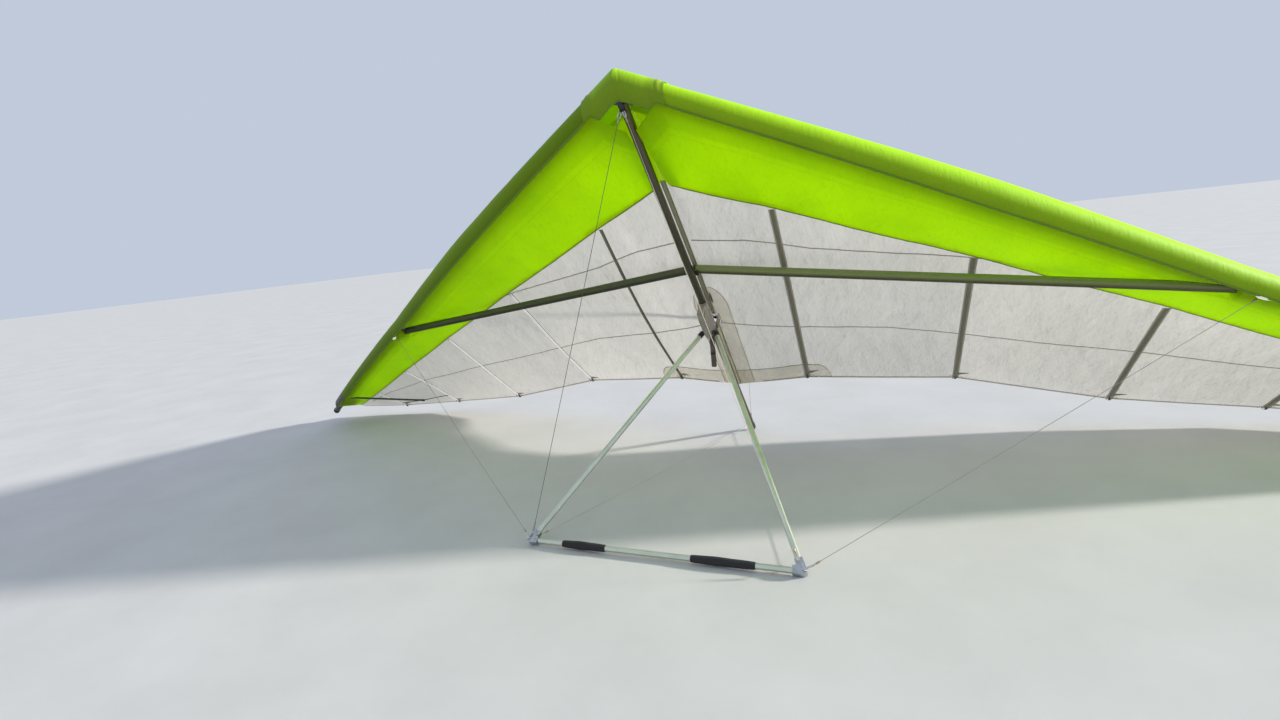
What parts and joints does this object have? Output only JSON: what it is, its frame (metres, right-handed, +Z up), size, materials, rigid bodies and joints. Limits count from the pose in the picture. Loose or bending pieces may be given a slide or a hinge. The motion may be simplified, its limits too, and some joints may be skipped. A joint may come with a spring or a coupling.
{
  "type": "hang glider",
  "caption": "Kingposted hang glider parked nose up on its control frame and keel, with a partly double-surface wing, folding control frame and mast, and a hang strap.",
  "frame": {"origin": "on the floor under the middle of the glider's bounding box", "axes": "+Z up, -Y towards the raised nose, +X towards the pilot's left wing tip"},
  "size_m": [8.6606, 2.3508, 2.228],
  "materials": {
    "lime_cloth": "lime green sailcloth, taut, slightly translucent",
    "white_cloth": "off-white crinkled sailcloth, slightly translucent",
    "batten": "tan cloth pocket over a thin alloy batten",
    "keel_tube": "dark anodised tube",
    "dark_tube": "dark olive anodised tube",
    "bright_tube": "bright anodised tube with fine scratches",
    "bracket": "grey anodised plate",
    "black_plastic": "moulded black plastic",
    "grip_foam": "black foam grip",
    "webbing": "dark brown nylon webbing",
    "stay_wire": "coated stranded steel wire"
  },
  "bodies": {
    "airframe": {"apex_bracket": "bracket", "batten_left_1": "batten", "batten_left_2": "batten", "batten_left_3": "batten", "batten_left_4": "batten", "batten_left_5": "batten", "batten_right_1": "batten", "batten_right_2": "batten", "batten_right_3": "batten", "batten_right_4": "batten", "batten_right_5": "batten", "centre_batten_front": "batten", "centre_batten_rear": "batten", "crossbar_centre": "bracket", "crossbar_end_bracket_left": "bracket", "crossbar_end_bracket_right": "bracket", "crossbar_left": "dark_tube", "crossbar_right": "dark_tube", "front_wire_left": "stay_wire", "front_wire_right": "stay_wire", "hang_strap_hanger": "bracket", "keel": "keel_tube", "keel_tail_cap": "black_plastic", "kingpost_foot": "bracket", "leading_edge_left": "dark_tube", "leading_edge_right": "dark_tube", "leading_edge_sleeve_left": "lime_cloth", "leading_edge_sleeve_right": "lime_cloth", "nose_cone": "lime_cloth", "nose_plate_lower": "bracket", "nose_plate_upper": "bracket", "rear_wire_left": "stay_wire", "rear_wire_right": "stay_wire", "sail_left": "white_cloth", "sail_right": "white_cloth", "side_wire_left": "stay_wire", "side_wire_right": "stay_wire", "tip_cap_left": "black_plastic", "tip_cap_right": "black_plastic", "top_wire_front": "stay_wire", "top_wire_rear": "stay_wire", "top_wire_side_left": "stay_wire", "top_wire_side_right": "stay_wire", "undersurface_left": "lime_cloth", "undersurface_right": "lime_cloth", "washout_strut_left": "dark_tube", "washout_strut_right": "dark_tube"},
    "control_frame": {"base_bar": "bright_tube", "base_bar_grip_left": "grip_foam", "base_bar_grip_right": "grip_foam", "downtube_left": "bright_tube", "downtube_right": "bright_tube", "downtube_top_left": "black_plastic", "downtube_top_right": "black_plastic", "corner_bracket_left": "bracket", "corner_bracket_right": "bracket"},
    "mast": {"kingpost": "bright_tube", "kingpost_cap": "black_plastic"},
    "hang_strap": {"hang_strap": "webbing"}
  },
  "joints": [
    {"name": "control_frame_fold", "type": "hinge", "parent": "airframe", "child": "control_frame", "pos_m": [0, -0.02031, 0.89699], "axis": [1, 0, 0], "range_deg": [0, 80], "deforming": ["front_wire_left", "front_wire_right", "rear_wire_left", "rear_wire_right", "side_wire_left", "side_wire_right"]},
    {"name": "kingpost_fold", "type": "hinge", "parent": "airframe", "child": "mast", "pos_m": [0, 0.13354, 0.97272], "axis": [-1, 0, 0], "range_deg": [0, 70], "deforming": ["top_wire_front", "top_wire_rear", "top_wire_side_left", "top_wire_side_right"]},
    {"name": "hang_strap_swing", "type": "hinge", "parent": "airframe", "child": "hang_strap", "pos_m": [0, 0.01987, 0.87485], "axis": [1, 0, 0], "range_deg": [-58, 25]}
  ]
}
